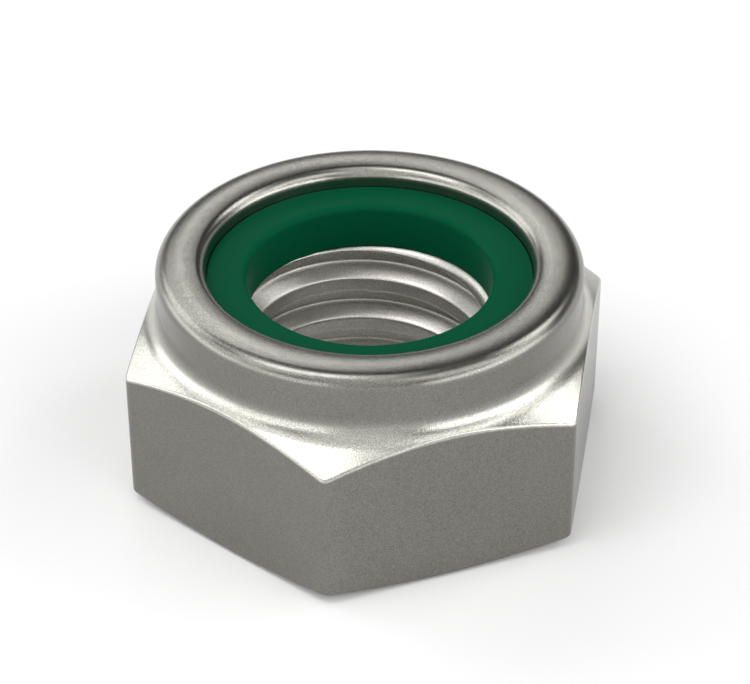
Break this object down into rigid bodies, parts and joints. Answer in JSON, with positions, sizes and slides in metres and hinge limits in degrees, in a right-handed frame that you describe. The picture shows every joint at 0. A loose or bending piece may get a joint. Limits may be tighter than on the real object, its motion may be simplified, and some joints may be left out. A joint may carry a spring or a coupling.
{
  "type": "nylon insert lock nut",
  "caption": "Thin hexagon lock nut: a steel body with a rolled collar that grips a green nylon ring above the threaded bore.",
  "frame": {"origin": "centre of the flat bearing face, on the thread's axis", "axes": "+Z along the thread's axis from the bearing face to the rolled lip, with two of the six upright edges on X and two of the six flats facing along Y"},
  "size_m": [0.0146, 0.0128, 0.0068],
  "materials": {
    "stainless_steel": "satin, tumbled after turning and forming",
    "green_nylon": "smooth moulded, slightly glossy on its rounded edges"
  },
  "bodies": {
    "root": {"nut_body": "stainless_steel", "nylon_ring": "green_nylon"}
  },
  "joints": []
}
